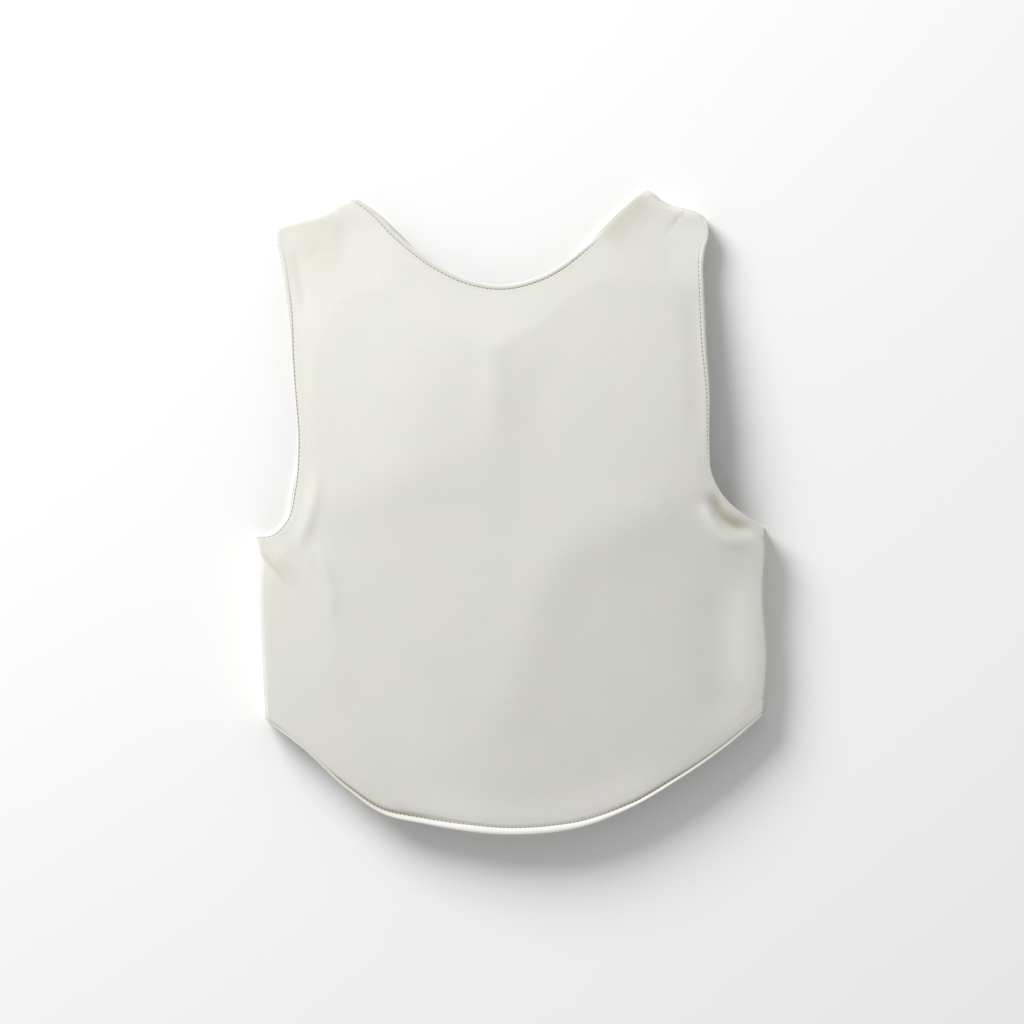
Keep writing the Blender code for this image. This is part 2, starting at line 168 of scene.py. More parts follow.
SEAMS = {
    "left side": through(LEFT_SIDE),
    "left shoulder": through(LEFT_SHOULDER),
    "right shoulder": through(RIGHT_SHOULDER),
    "right side": through(RIGHT_SIDE),
}
Edge = namedtuple("Edge", "curve before after band")
FRONT_EDGES = {
    "armhole_band_front_left": Edge(through(LEFT_ARMHOLE), "left side", "left shoulder", ARMHOLE_BAND),
    "neck_band_front": Edge(through(NECK), "left shoulder", "right shoulder", NECK_BAND),
    "armhole_band_front_right": Edge(through(RIGHT_ARMHOLE), "right shoulder", "right side", ARMHOLE_BAND),
    "bottom_band_front": Edge(through(BOTTOM), "right side", "left side", BOTTOM_BAND),
}

# The back's open edges lie a little inside the front's, at even parts of their length, or peep out below 0.
BACK_SHIFTS = ((0.0, -3.0, 3.0, 3.0, 3.0, 0.0), (0.0, -2.4, 3.0, 6.0, 3.0, -2.4, 0.0),
               (0.0, 3.0, 3.0, 3.0, 2.0, 0.0), (0.0, 2.0, -2.0, 2.0, 0.0))


def shifted(curve, shifts):
    """The curve with its points moved inwards by some even-spaced amounts, with soft steps between them."""
    shifts = np.array(shifts)
    at = arcs(curve) / arcs(curve)[-1] * (len(shifts) - 1)
    before = np.minimum(at.astype(int), len(shifts) - 2)
    amount = shifts[before] + (shifts[before + 1] - shifts[before]) * smooth(at - before)
    return curve + inward(curve) * amount[:, None]


BACK_EDGES = {
    name.replace("front", "back"): edge._replace(curve=shifted(edge.curve, shifts))
    for (name, edge), shifts in zip(FRONT_EDGES.items(), BACK_SHIFTS)
}
for name, edge in FRONT_EDGES.items():
    print(name, "is", round(arcs(edge.curve)[-1]), "mm long")

# %% [markdown]
# From above, the armour panel shows only as a relief in the cloth. Its two round lobes and the notch
# between them hold the cloth up, and from the panel's rim the cloth falls straight to the neckline, like a
# tent from its ridge. That straight fall is why the collar part looks lighter than the lobes.

# %% Outline of the armour panels
PANEL_LEFT = (
    (-196.0, -192.0), (-213.0, -172.0), (-216.0, -120.0), (-213.0, -58.0), (-195.0, -25.0),
    (-181.0, 10.0), (-178.0, 60.0), (-178.0, 115.0), (-171.5, 157.0),
)
LEFT_LOBE = (
    (-171.5, 157.0), (-152.0, 188.5), (-119.2, 197.4), (-89.7, 181.0), (-53.9, 159.3), (-16.7, 143.8),
)
RIGHT_LOBE = (
    (-16.7, 143.8), (20.2, 164.0), (60.0, 195.5), (101.0, 207.5), (139.0, 190.5), (160.5, 157.0),
)
PANEL_RIGHT = (
    (160.5, 157.0), (162.0, 105.0), (162.0, 55.0), (170.0, 12.0), (191.0, -24.0),
    (213.0, -52.0), (218.0, -120.0), (214.0, -166.0), (194.0, -189.0),
)
BACK_PANEL_TOP = (
    (-171.5, 157.0), (-140.0, 184.0), (-70.0, 183.0), (60.0, 183.0), (130.0, 184.0), (160.5, 157.0),
)
PANEL_BOTTOM_INSET = 14.0
PANEL_BOTTOM_TRIM = 45.0
PANEL_STEP = 6.0


def panel_loop(*top):
    """A panel's outline: the flanks, the given top, and a bottom that follows the vest's."""
    bottom = FRONT_EDGES["bottom_band_front"].curve
    lower = bottom + inward(bottom) * PANEL_BOTTOM_INSET
    lower = walk(lower, np.arange(PANEL_BOTTOM_TRIM, arcs(lower)[-1] - PANEL_BOTTOM_TRIM, PANEL_STEP))
    curves = [through(PANEL_LEFT, PANEL_STEP)]
    curves += [through(curve, PANEL_STEP) for curve in top]
    curves.append(through(PANEL_RIGHT, PANEL_STEP))
    return np.concatenate([curve[:-1] for curve in curves] + [curves[-1][-1:], lower])


def closed(loop):
    """The loop with its first point again at its end."""
    return np.concatenate([loop, loop[:1]])


FRONT_PANEL = panel_loop(LEFT_LOBE, RIGHT_LOBE)
BACK_PANEL = panel_loop(BACK_PANEL_TOP)
print("panel outlines have", len(FRONT_PANEL), "and", len(BACK_PANEL), "points")

# %% [markdown]
# How high the cloth lies is one function of where it is. It could be a simulated drape, but the folds
# that matter here are few and known by place, so each is a row of a table: a curve, a width, a lift for a
# ridge or a dent, and a slant for a fold that is lit on one side and dark on the other. Each fold also
# has the shares of its length over which it fades in and out.

# %% Arch, panel and folds
CLOTH = 1.5
PANEL = 5.5
BAND = 3.0
GAP = 0.3
SIDE_SEAM = 9.0
SHOULDER_SEAM = 8.0
SIDE_ROUND = 3.5
SHOULDER_ROUND = 6.0
SEAM_SNAP = 0.05
HALF_WIDTH = 230.0
ARCH_DROP = 0.45
ARCH_POWER = 2.2
PANEL_RELIEF = 6.0
PANEL_TENT = 85.0
PANEL_RIM = 2.5
Height = namedtuple("Height", "y crown")
CROWN = (
    Height(-300, 28), Height(-230, 35), Height(-100, 43), Height(20, 45.5), Height(100, 42),
    Height(160, 36), Height(205, 30.5), Height(250, 25.5), Height(300, 20.5),
)
Fold = namedtuple("Fold", "name width lift slant fade_in fade_out points")
FOLDS = (
    Fold("crease below the notch", 13, 0.9, 0.0, 0.0, 0.9, ((-17, 144), (-19, 85), (-24, 20))),
    Fold("ridge between the lobes", 45, 2.0, 0.0, 0.0, 0.6, ((-20, 140), (-22, 60), (-30, -30))),
    Fold("fall right of the notch", 24, 0.0, 0.6, 0.3, 0.7, ((4, 140), (6, 100), (2, 20))),
    Fold("left chest swell", 60, 3.2, 0.0, 0.0, 0.0, ((-90, 60), (-85, 100), (-80, 130))),
    Fold("belly crest", 26, 1.2, 0.0, 0.1, 0.2,
         ((160, 12), (96, -12), (42, -44), (11, -116), (-12, -224))),
    Fold("belly swell", 70, 2.0, 0.0, 0.0, 0.0,
         ((150, 20), (80, -10), (20, -60), (-5, -140), (-20, -240))),
    Fold("right flank hollow", 24, -1.5, 0.0, 0.4, 0.2, ((199, -25), (192, -100), (188, -200))),
    Fold("left flank crest", 18, 0.9, 0.0, 0.2, 0.3, ((-178, -20), (-166, -70), (-163, -190))),
    Fold("under the left chest", 28, 1.0, 0.0, 0.1, 0.4, ((-185, 0), (-140, 12), (-85, 36), (-50, 66))),
    Fold("right armpit hollow", 6, -3.2, 0.0, 0.3, 0.35,
         ((174, 19), (182, 4), (190, -6), (199, -12), (212, -17), (222, -20))),
    Fold("right armpit welt", 6.5, 1.7, 0.0, 0.25, 0.35,
         ((171, 12), (177, -6), (188, -21), (201, -28), (215, -31))),
    Fold("left armpit dent", 4.5, -1.3, 0.0, 0.0, 0.9,
         ((-228, -36), (-216, -49), (-205, -62), (-192, -80))),
    Fold("left armhole roll", 5, 1.0, 0.0, 0.5, 0.3,
         ((-173, 50), (-176, 25), (-181, 0), (-187, -18), (-196, -42))),
    Fold("left strap dent", 5, -0.8, 0.0, 0.3, 0.4, ((-198, 243), (-195, 218), (-190, 197), (-189, 165))),
    Fold("left strap hollow", 28, -0.8, 0.0, 0.3, 0.5, ((-148, 275), (-148, 240), (-150, 200))),
    Fold("left strap dimple", 5, -0.35, 0.0, 0.5, 0.5, ((-179, 240), (-177, 222))),
    Fold("left strap drop", 7, -0.7, 0.0, 0.4, 0.6, ((-158, 262), (-152, 244), (-150, 220))),
    Fold("right strap crease", 3, -0.35, 0.0, 0.2, 0.5,
         ((156, 273), (144.5, 260), (137.7, 251), (130.8, 245))),
    Fold("right strap drop", 6, -0.2, 0.0, 0.4, 0.5, ((145, 245), (141, 228), (142, 205))),
    Fold("right armhole hollow", 9, -0.9, 0.0, 0.3, 0.3, ((158, 205), (164, 120), (162, 40))),
    Fold("left armpit wrinkle one", 4, 0.6, 0.0, 0.5, 0.5, ((-196, -22), (-184, -38), (-176, -58))),
    Fold("left armpit wrinkle two", 4, 0.6, 0.0, 0.5, 0.5, ((-186, -18), (-172, -40), (-162, -66))),
    Fold("left armpit wrinkle three", 4.5, 0.6, 0.0, 0.5, 0.5, ((-178, -34), (-164, -62), (-158, -92))),
    Fold("left flank wrinkle", 4.5, 0.55, 0.0, 0.5, 0.5, ((-176, -62), (-164, -84), (-160, -108))),
)
Wave = namedtuple("Wave", "long_x long_y turn lift")
WAVES = (
    Wave(61, 83, 0.4, 0.08), Wave(-47, 39, 2.1, 0.05), Wave(27, -71, 3.9, 0.04), Wave(19, 23, 5.2, 0.015),
)
CROWN_CURVE = through(CROWN)
FOLD_CURVES = [(fold, through(fold.points, 2 * CURVE_STEP)) for fold in FOLDS]
print(len(FOLDS), "folds, the deepest", max(abs(fold.lift) for fold in FOLDS), "mm")

# %% [markdown]
# The height is then an arch from side to side, plus the panel, plus the folds, and near a seam the cloth
# turns down to it in a quarter circle. The back is simpler. It lies flat and turns up to the seams.

# %% Height of the cloth
SLANT_PEAK = 2.33
FOLD_REACH = 3.0


def close_to(at, curve, reach):
    """Which points are in the curve's box, grown by a reach. The rest need not be measured."""
    return np.all((at > curve.min(axis=0) - reach) & (at < curve.max(axis=0) + reach), axis=1)


def uneven(at):
    """The slight waviness that every laid cloth has, in mm."""
    x, y = at.T
    return sum(wave.lift * np.sin(x / wave.long_x + y / wave.long_y + wave.turn) for wave in WAVES)


def rounded(distance, radius):
    """0 at a seam and 1 past its round, along a quarter circle."""
    t = np.clip((distance - SEAM_SNAP) / radius, 0, 1)
    return np.sqrt(1 - (1 - t) ** 2)


def seam_rounds(at):
    """For each seam its level, and how far the cloth at these points has turned away from it."""
    for name, curve in SEAMS.items():
        side = "side" in name
        radius = SIDE_ROUND if side else SHOULDER_ROUND
        turned = np.ones(len(at))
        near = close_to(at, curve, radius)
        turned[near] = rounded(beside(at[near], curve)[0], radius)
        yield (SIDE_SEAM if side else SHOULDER_SEAM), turned


def panel_lift(at):
    """How far the panel holds the cloth up: in full over it, and less with the distance outside its rim."""
    out = np.clip(-beside(at, closed(FRONT_PANEL))[0], 0, PANEL_TENT)
    eased = np.hypot(out, PANEL_RIM) - PANEL_RIM
    return PANEL_RELIEF * (1 - eased / (np.hypot(PANEL_TENT, PANEL_RIM) - PANEL_RIM))


def ends(along, fold):
    """How much of a fold is left at these shares of its length, where it fades in and out."""
    arrive = smooth(along / fold.fade_in) if fold.fade_in else 1.0
    leave = smooth((1 - along) / fold.fade_out) if fold.fade_out else 1.0
    return arrive * leave


def fold_lift(at):
    """What the folds add to the height."""
    lift = np.zeros(len(at))
    for fold, curve in FOLD_CURVES:
        near = close_to(at, curve, FOLD_REACH * fold.width)
        distance, along = beside(at[near], curve)
        over = distance / fold.width
        form = (fold.lift + fold.slant * SLANT_PEAK * over) * np.exp(-over * over)
        lift[near] += form * ends(along, fold)
    return lift


def front_height(at):
    """Height of the front's outer face over these points of the pattern, in mm."""
    x, y = at.T
    crown = np.interp(y, CROWN_CURVE[:, 0], CROWN_CURVE[:, 1])
    height = crown * (1 - ARCH_DROP * np.abs(x / HALF_WIDTH) ** ARCH_POWER)
    height += panel_lift(at) + fold_lift(at) + uneven(at)
    for level, turned in seam_rounds(at):
        height = level + GAP + (height - level - GAP) * turned
    return height


def back_height(at):
    """Height of the back's outer face: flat where it lies, and up to the seams in a round."""
    height = np.zeros(len(at))
    for level, turned in seam_rounds(at):
        height = level - GAP + (height - level + GAP) * turned
    return height


print("height of the chest:", front_height(np.array([[0.0, 50.0]]))[0].round(1), "mm")

# %% [markdown]
# Bands, stitches and the inner faces all lie some depth below the outer face, so the next helper goes
# down into the cloth from it, square to its surface. The slope comes from the height a little to each
# side.

# %% Faces below the outer face
SLOPE_STEP = 0.6


def normals(at, height):
    """The way out of the cloth at these points."""
    step_x, step_y = np.array([SLOPE_STEP, 0.0]), np.array([0.0, SLOPE_STEP])
    slope_x = (height(at + step_x) - height(at - step_x)) / (2 * SLOPE_STEP)
    slope_y = (height(at + step_y) - height(at - step_y)) / (2 * SLOPE_STEP)
    side = 1.0 if height is front_height else -1.0
    out = side * np.stack([-slope_x, -slope_y, np.ones(len(at))], axis=1)
    for curve in SEAMS.values():
        near = np.flatnonzero(close_to(at, curve, 1.0))
        out[near[np.abs(beside(at[near], curve)[0]) <= SEAM_SNAP], 2] = 0.0
    return out / np.linalg.norm(out, axis=1)[:, None]


def face(at, height, depth):
    """Points some depth inside the cloth's outer face. A depth below 0 stands proud of it."""
    return np.column_stack([at, height(at)]) - normals(at, height) * np.reshape(depth, (-1, 1))


# %% [markdown]
# A band ends at a seam, and there it has to run along the seam, or it would cross into the other half. So
# the way across a band is square to its edge in the middle and turns to follow the seam over the last
# END_TURN millimetres.

# %% Lines beside an open edge
END_TURN = 14.0


def across(edge, stations):
    """The way across a band, for each mm of its width, at these distances along its edge."""
    over = sampled(edge.curve, inward(edge.curve), stations)
    size = arcs(edge.curve)[-1]
    for seam, distance in ((SEAMS[edge.before][::-1], stations), (SEAMS[edge.after], size - stations)):
        near = walk(seam, [0.0, edge.band])
        along = near[1] - near[0]
        along /= along @ over[distance.argmin()]
        turn = np.clip(distance / END_TURN, 0, 1)[:, None]
        over = along * (1 - turn) + over * turn
    return over


def inner_line(edge, width, stations):
    """The line some width inside an open edge, and how far along the seams its two ends are."""
    over = across(edge, stations)
    width = np.broadcast_to(width, len(stations))
    line = walk(edge.curve, stations) + over * width[:, None]
    reach = np.linalg.norm(over[[0, -1]], axis=1) * width[[0, -1]]
    line[0] = walk(SEAMS[edge.before][::-1], reach[:1])[0]
    line[-1] = walk(SEAMS[edge.after], reach[1:])[0]
    return line, reach


def stations(edge, step):
    """Even distances along an open edge, about a step apart."""
    size = arcs(edge.curve)[-1]
    return np.linspace(0, size, round(size / step) + 1)


# %% [markdown]
# Deep in a crease the cloth lies doubled and little light gets in, and on ridges and flares that face the
# light it looks brighter. The surface alone doesn't show either strongly enough, so both are painted into
# its colour: a small table says where the cloth gets painted shade, or painted light with a depth below
# 0, and the value is kept with the vertices for the finish to use.

# %% Painted shade and light
Shade = namedtuple("Shade", "name width depth fade_in fade_out points")
# Each row is painted shade, or painted light where its depth is below 0.
SHADES = (
    Shade("right armpit", 4.2, 0.55, 0.3, 0.4,
          ((177, 21), (184, 5), (192, -5), (201, -11), (213, -16), (223, -19))),
    Shade("right armpit edge", 2.0, 0.35, 0.5, 0.4, ((180, 6), (188, -5), (197, -12), (208, -17))),
    Shade("right armpit welt", 4.5, -0.35, 0.3, 0.4,
          ((170, 10), (177, -8), (188, -22), (201, -28), (216, -31))),
    Shade("under the right armpit", 9, 0.08, 0.5, 0.5, ((150, 14), (166, 12), (178, 4))),
    Shade("left armpit", 1.8, 0.4, 0.0, 0.9, ((-228, -36), (-216, -49), (-205, -62), (-194, -77))),
    Shade("left armpit fan", 8, 0.15, 0.1, 0.6, ((-214, -42), (-202, -56), (-188, -74))),
    Shade("left armhole flange", 6, -0.12, 0.3, 0.4, ((-184, 40), (-189, 5), (-195, -14), (-206, -30))),
    Shade("beside the left armhole", 5, 0.08, 0.4, 0.4,
          ((-170, 22), (-175, -2), (-181, -20), (-188, -42))),
    Shade("left strap", 30, 0.13, 0.1, 0.6, ((-176, 268), (-174, 240), (-168, 185))),
    Shade("left strap dent", 3.5, 0.12, 0.3, 0.4, ((-198, 243), (-195, 218), (-190, 197), (-189, 165))),
    Shade("right strap crease", 1.5, 0.3, 0.1, 0.5,
          ((156, 273), (144.5, 260), (137.7, 251), (130.8, 245))),
    Shade("right strap neck edge", 16, 0.24, 0.3, 0.2, ((78, 240), (96, 258), (111, 274), (121, 287))),
    Shade("right strap", 22, -0.24, 0.2, 0.4, ((158, 264), (160, 235), (160, 195))),
    Shade("right flank", 17, -0.32, 0.3, 0.3, ((202, -45), (199, -110), (204, -172))),
    Shade("low left", 38, -0.07, 0.3, 0.3, ((-112, -150), (-84, -205), (-56, -238))),
    Shade("above the hem", 17, -0.27, 0.25, 0.2,
          ((-112, -248), (-60, -264), (6, -271), (62, -265), (105, -247), (150, -219))),
    Shade("left in the hem", 3.0, 0.16, 0.2, 0.5, ((-112, -262), (-90, -269), (-60, -274), (-34, -277))),
)
SHADE_CURVES = [(shade, through(shade.points)) for shade in SHADES]
# Each seam also gets a thin line of painted shade.
SEAM_SHADE = 0.4
SEAM_SHADE_WIDTH = 1.1


def shade_at(at):
    """The painted shade of the creases and seams at these points, and painted light where it is below 0."""
    dark = np.zeros(len(at))
    for shade, curve in SHADE_CURVES:
        near = close_to(at, curve, FOLD_REACH * shade.width)
        distance, along = beside(at[near], curve)
        dark[near] += shade.depth * ends(along, shade) * np.exp(-((distance / shade.width) ** 2))
    for curve in SEAMS.values():
        near = close_to(at, curve, FOLD_REACH)
        depth = SEAM_SHADE * np.exp(-((beside(at[near], curve)[0] / SEAM_SHADE_WIDTH) ** 2))
        dark[near] = np.maximum(dark[near], depth)
    return dark


def paint(piece, name, values):
    """Stores one number a vertex, for the finish to read."""
    piece.data.attributes.new(name, "FLOAT", "POINT").data.foreach_set("value", values)


print(len(SHADES), "shaded or pale places")

# %% [markdown]
# The front and the back are cut like cloth: the outline is filled with a fine net of triangles, close
# together where the cloth turns to a seam. The net gets its heights, and Solidify gives the cloth its
# thickness, inwards. A grid primitive could do for a plain sheet, but it can't follow this outline.

# %% Cut the cloth
NET = 2.7
SEAM_ROWS = (0.12, 0.4, 0.9, 1.7, 2.8, 4.2, 6.2)
TUCKED = 2.0
ROOM = 0.55
NET_HALF = (234.0, 294.0)
NET_ROW = 0.866
SHARP_ANGLE = 1.2


def shell_outline(edges):
    """The outline of the cloth, tucked under the inner part of each band, and rows that follow its seams."""
    edges = list(edges.values())
    lines = [inner_line(edge, edge.band - TUCKED, stations(edge, NET)) for edge in edges]
    loop, rows = [], []
    for edge, (line, reach), (_, next_reach) in zip(edges, lines, lines[1:] + lines[:1]):
        seam = SEAMS[edge.after]
        end = arcs(seam)[-1] - next_reach[0]
        along = np.linspace(reach[1], end, round((end - reach[1]) / NET) + 1)[1:-1]
        on_seam = walk(seam, along)
        loop += [line, on_seam]
        rows += [on_seam + sampled(seam, inward(seam), along) * width for width in SEAM_ROWS]
    return np.concatenate(loop), rows


def hexagons(step):
    """An even triangular net of points over the whole vest."""
    half_x, half_y = NET_HALF
    x, y = np.meshgrid(np.arange(-half_x, half_x + 1, step), np.arange(-half_y, half_y + 1, step * NET_ROW))
    return np.column_stack([(x + (np.arange(len(x)) % 2)[:, None] * step / 2).ravel(), y.ravel()])


def with_room(points, spots, room):
    """The spots that have room around them among the points."""
    tree = kdtree.KDTree(len(points))
    for k, (x, y) in enumerate(points):
        tree.insert((x, y, 0.0), k)
    tree.balance()
    return np.array([spot for spot in spots if tree.find((*spot, 0.0))[2] >= room]).reshape(-1, 2)


def cut_net(loop, rows, step):
    """Points and triangles that fill an outline."""
    points = np.concatenate([loop] + [row[inside(row, loop)] for row in rows])
    net = hexagons(step)
    points = np.concatenate([points, with_room(points, net[inside(net, loop)], ROOM * step)])
    ring = [(k, (k + 1) % len(loop)) for k in range(len(loop))]
    flat, _, triangles, *_ = delaunay_2d_cdt([Vector(point) for point in points], ring, [], 0, 1e-5)
    flat, triangles = np.array(flat), np.array(triangles)
    return flat, triangles[inside(flat[triangles].mean(axis=1), loop)]


def new_piece(name, points, faces):
    """A named object from points in millimetres."""
    mesh = bpy.data.meshes.new(name)
    mesh.from_pydata(points * MM, [], faces)
    mesh.validate()
    piece = bpy.data.objects.new(name, mesh)
    bpy.context.collection.objects.link(piece)
    return piece


def make_active(piece):
    """Selects this piece alone, as a click would."""
    bpy.ops.object.select_all(action="DESELECT")
    piece.select_set(True)
    bpy.context.view_layer.objects.active = piece


def thicken(piece, thickness):
    """Gives a sheet its thickness, inwards, and smooth shading."""
    make_active(piece)
    wall = piece.modifiers.new("wall", "SOLIDIFY")
    wall.thickness = thickness * MM
    wall.offset = -1.0
    bpy.ops.object.modifier_apply(modifier=wall.name)
    bpy.ops.object.shade_smooth_by_angle(angle=SHARP_ANGLE)


def turn_faces_out(piece):
    """Points all faces outwards and shades them smooth up to a sharp edge."""
    make_active(piece)
    bpy.ops.object.mode_set(mode="EDIT")
    bpy.ops.mesh.select_all(action="SELECT")
    bpy.ops.mesh.normals_make_consistent(inside=False)
    bpy.ops.object.mode_set(mode="OBJECT")
    bpy.ops.object.shade_smooth_by_angle(angle=SHARP_ANGLE)


def triangle_count(piece):
    """How many triangles a piece has once its faces are split."""
    return sum(len(polygon.vertices) - 2 for polygon in piece.data.polygons)


def cut_cloth(name, edges, height):
    """One half's cloth, from its outline to a closed thin wall."""
    flat, triangles = cut_net(*shell_outline(edges), NET)
    if height is back_height:
        triangles = triangles[:, ::-1]
    piece = new_piece(name, np.column_stack([flat, height(flat)]), triangles.tolist())
    thicken(piece, CLOTH)
    if height is front_height:
        paint(piece, "shade", shade_at(np.array([vertex.co[:2] for vertex in piece.data.vertices]) / MM))
    print(name, "has", triangle_count(piece), "triangles")
    return piece


front_cloth = cut_cloth("front_cloth", FRONT_EDGES, front_height)
back_cloth = cut_cloth("back_cloth", BACK_EDGES, back_height)

# %% [markdown]
# A band is the edge of the cloth turned under and stitched down. Where the cloth is drawn tight the edge
# rolls over, so the stitches run nearer to it or are hidden. Short tables say so along each edge: the
# share of its length, how far in it is stitched, how much of the stitching shows, and how much painted
# shade its very edge gets. One more table is for the bottom hem, which is creased beside its stitches and
# flares up outside them, with painted shade in the crease and painted light on the flared strip.

# %% Stitching and hem
STITCHED = 4.4
BACK_HEM_STITCHED = 6.8
Sewn = namedtuple("Sewn", "along stitched seen edge", defaults=(0.0,))
SEWN = {
    "neck_band_front": (
        Sewn(0.0, 4.4, 0.6), Sewn(0.12, 4.4, 1.0), Sewn(0.68, 4.4, 1.0), Sewn(0.8, 4.4, 0.1, 0.2),
        Sewn(0.86, 4.4, 0.0, 1.0), Sewn(0.94, 4.4, 0.0, 1.0), Sewn(1.0, 4.4, 0.0, 0.4),
    ),
    "armhole_band_front_left": (
        Sewn(0.0, 1.8, 0.2), Sewn(0.15, 1.8, 0.8), Sewn(0.6, 2.4, 1.0), Sewn(0.75, 4.8, 0.8),
        Sewn(0.86, 5.2, 0.3), Sewn(1.0, 5.2, 0.0),
    ),
    "armhole_band_front_right": (
        Sewn(0.0, 4.6, 0.0), Sewn(0.07, 4.6, 0.0), Sewn(0.13, 4.6, 0.8), Sewn(0.38, 4.6, 1.0),
        Sewn(0.53, 2.8, 1.0), Sewn(0.68, 1.8, 0.8), Sewn(0.75, 1.8, 0.0), Sewn(1.0, 1.8, 0.0),
    ),
    "bottom_band_front": (
        Sewn(0.0, 2.6, 0.0), Sewn(0.16, 3.0, 0.1), Sewn(0.21, 3.5, 0.5), Sewn(0.27, 3.6, 0.8),
        Sewn(0.35, 5.2, 1.0), Sewn(0.42, 6.5, 1.0), Sewn(0.58, 6.5, 1.0), Sewn(0.65, 5.2, 1.0),
        Sewn(0.7, 5.0, 1.0), Sewn(0.76, 3.6, 0.8), Sewn(0.83, 2.9, 0.3), Sewn(0.9, 2.2, 0.0),
        Sewn(1.0, 2.6, 0.0),
    ),
}
Hem = namedtuple("Hem", "along depth width rise shade light")
HEM = np.array([
    Hem(0.0, 0.0, 1.0, 0.0, 0.3, 0.0), Hem(0.1, 0.5, 1.0, 0.4, 0.35, 0.1),
    Hem(0.21, 1.2, 1.3, 1.0, 0.7, 0.3), Hem(0.27, 1.3, 1.5, 1.2, 0.7, 0.4),
    Hem(0.35, 0.5, 2.0, 1.8, 0.1, 0.5), Hem(0.5, 0.4, 2.5, 2.2, 0.03, 0.6),
    Hem(0.58, 0.6, 3.0, 2.2, 0.12, 0.6), Hem(0.65, 1.0, 3.0, 2.0, 0.25, 0.6),
    Hem(0.7, 1.5, 2.4, 1.8, 0.6, 0.5), Hem(0.76, 1.4, 1.6, 1.2, 0.75, 0.3),
    Hem(0.83, 1.2, 0.9, 0.8, 0.8, 0.2), Hem(0.86, 0.6, 0.9, 0.4, 0.3, 0.0),
    Hem(0.9, 0.2, 0.9, 0.1, 0.1, 0.0), Hem(0.95, 0.2, 0.9, 0.1, 0.15, 0.0),
    Hem(0.98, 0.6, 1.2, 0.2, 0.55, 0.0), Hem(1.0, 0.0, 1.2, 0.0, 0.3, 0.0),
])
HEM_STEEP = 0.6
HEM_ENDS = 0.04


def sewn(name, share):
    """How far in a band is stitched, how much of that shows and its edge's painted shade, at shares of its
    length.
    """
    plain = Sewn(0.0, BACK_HEM_STITCHED if name == "bottom_band_back" else STITCHED, 1.0)
    table = np.array(SEWN.get(name, (plain,)))
    return [np.interp(share, table[:, 0], column) for column in table[:, 1:].T]


def hem_shape(share, past, stitched):
    """How much deeper the front's bottom band lies at a distance past its stitches, and its painted shade
    there.

    Just past the stitches it sinks into a crease with painted shade, and outside them it flares up and gets
    painted light, as a shade below 0.
    """
    depth, wide, rise, shade, light = (np.interp(share, HEM[:, 0], column) for column in HEM[:, 1:].T)
    crease = np.exp(-((past / np.where(past < 0, HEM_STEEP, wide)) ** 2))
    whole = smooth(np.minimum(share, 1 - share) / HEM_ENDS)
    deeper = (depth * crease - rise * np.clip(-past / stitched, 0, 1)) * whole
    return deeper, shade * crease - light * np.clip(-past / HEM_STEEP, 0, 1)


print("the hem flares up by at most", HEM[:, 3].max(), "mm")

# %% [markdown]
# The section of a band is a rounded lip, a soft swell, a groove where the thread pulls it down, a flat
# part, and a feather edge that goes under the surface of the cloth. Each corner has its distance from the
# edge, its depth in the cloth and a painted shade, with painted light on the lip and painted shade on the
# swell. The section is swept along the edge, with the groove deeper at each needle hole and painted shadow
# in it. Where an armhole is stitched well inside its folded edge, that edge gets short dashes of painted
# shadow, and the middle of the bottom hem's very edge gets a line of painted shadow.

# %% Turned bands
STITCH = 3.8
STITCH_PARTS = 5
HOLE_PARTS = 2
SWELL = 0.17
GROOVE = 0.1
GROOVE_SIDE = 0.4
BESIDE_GROOVE = 0.5
FLAT_RISE = 0.08
LIP = 0.9
LIP_CORNERS = ((0.06, 1.0), (0.25, 0.55), (0.6, 0.15))
LIP_BACK = ((0.9, 2.9), (0.25, 2.5), (0.06, 2.0), (0.0, 1.5))
SWELL_SHARES = (0.0, 0.5, 1.0)
FLAT_SHARES = (0.12, 0.28, 0.5, 0.75, 1.0)
FEATHER = 0.8
HOLE = 0.35
# Painted shade in the needle holes, on the swell, in the edge dashes and along the hem's edge; painted light
# on the lip.
HOLE_SHADE = 0.95
SIDE_HOLE = 0.9
BAND_SHADE = 0.16
LIP_LIGHT = 0.45
DASH_EVERY = 7
DASH_PARTS = 3
DASH_SHADE = 0.6
DASHED_FROM = 4.0
EDGE_SHADE = 0.55
EDGE_FADE = 0.2
Corner = namedtuple("Corner", "width depth shade hole", defaults=(0.0, 0.0))


def band_section(edge, stitched, seen):
    """The corners of a band's section, from the lip to the feather edge, and back below."""
    width = edge.band
    light, tone = -LIP_LIGHT * seen, BAND_SHADE * seen
    lip = [Corner(over, depth, light) for over, depth in LIP_CORNERS]
    room = stitched - BESIDE_GROOVE - LIP
    swell = [Corner(LIP + room * share, -FLAT_RISE - SWELL * seen, tone) for share in SWELL_SHARES]
    groove = (GROOVE + FLAT_RISE) * seen - FLAT_RISE
    flat_from = stitched + GROOVE_SIDE
    room = width - BESIDE_GROOVE - flat_from
    flat = [Corner(flat_from + room * share, -FLAT_RISE) for share in FLAT_SHARES]
    below = (
        (width + FEATHER + 0.05, 0.5), (width + FEATHER, 1.4), (width, BAND - 0.3), (0.6 * width, BAND),
        (0.3 * width, BAND), *LIP_BACK,
    )
    return [
        *lip, *swell,
        Corner(stitched - GROOVE_SIDE, -FLAT_RISE, tone, SIDE_HOLE),
        Corner(stitched, groove, tone, 1.0),
        Corner(stitched + GROOVE_SIDE, -FLAT_RISE, 0.0, SIDE_HOLE),
        *flat,
        Corner(width, -0.5 * FLAT_RISE), Corner(width + FEATHER, 0.25 * FLAT_RISE),
        *[Corner(over, depth) for over, depth in below],
    ]


